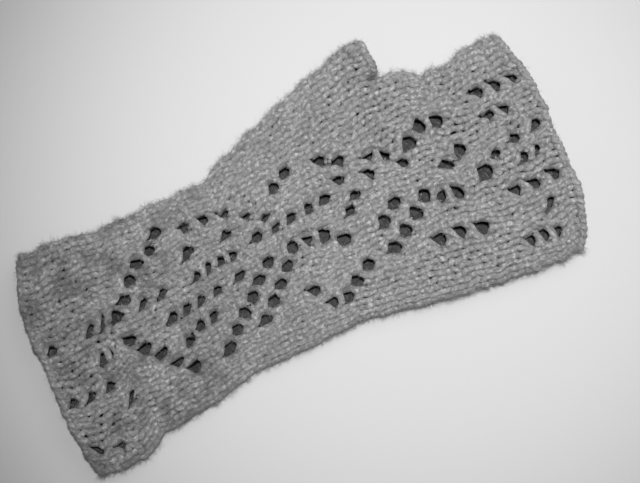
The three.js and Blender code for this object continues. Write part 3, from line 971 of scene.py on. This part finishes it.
def cuff_painted_shade(tree, place):
    """Painted shade over the cuff: two tones to multiply by, both strong at the cuff and gone before the
    middle of the hand.
    """
    split = tree.nodes.new("ShaderNodeSeparateXYZ")
    link(tree, place, split.inputs["Vector"])
    away_from_cuff = tree.nodes.new("ShaderNodeMapRange")
    away_from_cuff.inputs["From Min"].default_value = CUFF[0] * MM
    away_from_cuff.inputs["From Max"].default_value = CUFF[1] * MM
    link(tree, split.outputs["X"], away_from_cuff.inputs["Value"])
    darker = ramp(tree, away_from_cuff.outputs["Result"], [(0.0, CUFF_TONE), (1.0, 1.0)])
    blotches = ramp(tree, noise(tree, place, SCALES["blotch"], 2.0), BLOTCH_STOPS)
    return darker, mix(tree, away_from_cuff.outputs["Result"], blotches, WHITE)


print("cuff painted shade ends", round(CENTRE[0] + CUFF[1]), "mm from the wrist rim")

# %% [markdown]
# The wool's surface
#
# Three plies twist round each strand and fine fibres cross them. A mesh could carry the plies, but at
# this size a bump is enough, because the strands themselves make the outline. The wool is matt, lets
# a little light through, and has a soft sheen that stands for its shortest down.

# %% Tweed wool material
PLIES = dict(across=3.0, along=3.2, share=0.5)
BUMP_STRENGTH = 0.8
BUMP_HEIGHT = 0.0003
WOOL_SHADER = {
    "Roughness": 0.92,
    "Subsurface Weight": 0.3,
    "Subsurface Radius": (1.0, 1.0, 1.0),
    "Subsurface Scale": 0.001,
    "Specular IOR Level": 0.2,
    "Sheen Weight": 0.35,
    "Sheen Roughness": 0.5,
}


def ply_bump(tree, place, uv):
    split = tree.nodes.new("ShaderNodeSeparateXYZ")
    link(tree, uv, split.inputs["Vector"])
    across = math_node(tree, "MULTIPLY", split.outputs["Y"], PLIES["across"])
    along = math_node(tree, "MULTIPLY", split.outputs["X"], PLIES["along"])
    twist = math_node(tree, "MULTIPLY", math_node(tree, "ADD", across, along), 2 * math.pi)
    plies = math_node(tree, "MULTIPLY", math_node(tree, "SINE", twist), PLIES["share"])
    grain = noise(tree, place, SCALES["grain"], 3.0, 0.7)
    bump = tree.nodes.new("ShaderNodeBump")
    bump.inputs["Strength"].default_value = BUMP_STRENGTH
    bump.inputs["Distance"].default_value = BUMP_HEIGHT
    link(tree, math_node(tree, "ADD", plies, grain), bump.inputs["Height"])
    return bump.outputs["Normal"]


def tweed(name, dark, light, fleck):
    material = bpy.data.materials.new(name)
    material.use_nodes = True
    tree = material.node_tree
    shader = tree.nodes["Principled BSDF"]
    yarn_map = tree.nodes.new("ShaderNodeUVMap")
    yarn_map.uv_map = "yarn"
    uv = yarn_map.outputs["UV"]
    place = tree.nodes.new("ShaderNodeTexCoord").outputs["Object"]
    colour = wool_grey(tree, place, uv, dark, light, fleck)
    patches = ramp(tree, noise(tree, place, SCALES["patch"], 1.0), PATCH_STOPS)
    # Painted shade on deep yarn, soft patches of tone and painted shade over the cuff multiply the
    # wool's grey.
    for tone in (painted_shade_ramp(tree), patches, *cuff_painted_shade(tree, place)):
        colour = mix(tree, 1.0, colour, tone, "MULTIPLY")
    link(tree, colour, shader.inputs["Base Color"])
    for socket, value in WOOL_SHADER.items():
        shader.inputs[socket].default_value = value
    link(tree, ply_bump(tree, place, uv), shader.inputs["Normal"])
    return material


wool = tweed("tweed_wool", 0.25, 0.508, 0.88)
edge_wool = tweed("tweed_wool_edge", 0.24, 0.47, 0.8)
for piece in [*knitting, *down]:
    piece.data.materials.append(wool)
for piece in (cast_on, bind_off, thumb_edge):
    piece.data.materials.append(edge_wool)
print("materials:", wool.name, edge_wool.name)

# %% [markdown]
# The table
#
# The mitt lies on a smooth pale sheet. A studio backdrop with a curve would also do, but the picture
# looks straight down, so a flat plane just under the yarn is all that shows.

# %% Table
TABLE_SIZE = 3.0
TABLE_DROP = 0.0002
TABLE_TONE = 0.72
TABLE_ROUGHNESS = 0.6
bpy.ops.mesh.primitive_plane_add(size=TABLE_SIZE, location=(0.0, 0.0, -TABLE_DROP))
table = bpy.context.object
table.name = "table"
paper = bpy.data.materials.new("pale_table")
paper.use_nodes = True
paper_shader = paper.node_tree.nodes["Principled BSDF"]
paper_shader.inputs["Base Color"].default_value = (TABLE_TONE, TABLE_TONE, TABLE_TONE, 1.0)
paper_shader.inputs["Roughness"].default_value = TABLE_ROUGHNESS
table.data.materials.append(paper)
print("table is", TABLE_SIZE, "m wide")

# %% [markdown]
# The light
#
# A small flash stands nearly overhead, a little above the picture's middle. It dims towards the
# corners and puts a short dark line under the lower fold. A weak window, up and to the right, and an
# even room light open the shadows. One broad soft light would be simpler, but it would hide the
# stitches, which need small shadows. Places are given as seen in the picture, and turned with it.

# %% Lights
FLASH_POWER = 33.6
FLASH_CONE = 27.5
FLASH_SIZE = 0.03
FLASH_AT = (0.042, 0.175, 1.0)
FLASH_AIM = (0.035, 0.012, 0.0)
WINDOW_POWER = 1.2
WINDOW_SIZE = 0.5
WINDOW_AT = (0.29, 0.5, 0.7)
WINDOW_AIM = (0.0, 0.0, 0.0)
ROOM_LIGHT = 0.13


def in_picture(right, up, height):
    """A point in metres from where it is in the picture, measured from the picture's middle."""
    turned = Matrix.Rotation(math.radians(VIEW_TURN), 3, "Z") @ Vector((right, up, height))
    return turned + Vector((VIEW_CENTRE[0], VIEW_CENTRE[1], 0.0)) * MM


def aimed(light_data, place, aim):
    light = bpy.data.objects.new(light_data.name, light_data)
    bpy.context.scene.collection.objects.link(light)
    light.location = place
    light.rotation_euler = (aim - place).to_track_quat("-Z", "Y").to_euler()


flash = bpy.data.lights.new("flash", "SPOT")
flash.energy = FLASH_POWER
flash.spot_size = math.radians(FLASH_CONE)
flash.spot_blend = 1.0
flash.shadow_soft_size = FLASH_SIZE
aimed(flash, in_picture(*FLASH_AT), in_picture(*FLASH_AIM))

window = bpy.data.lights.new("window", "AREA")
window.shape = "SQUARE"
window.size = WINDOW_SIZE
window.energy = WINDOW_POWER
aimed(window, in_picture(*WINDOW_AT), in_picture(*WINDOW_AIM))

world = bpy.data.worlds.new("room_light")
world.use_nodes = True
background = world.node_tree.nodes["Background"]
background.inputs["Color"].default_value = WHITE
background.inputs["Strength"].default_value = ROOM_LIGHT
bpy.context.scene.world = world
bpy.context.scene.view_settings.view_transform = "Standard"
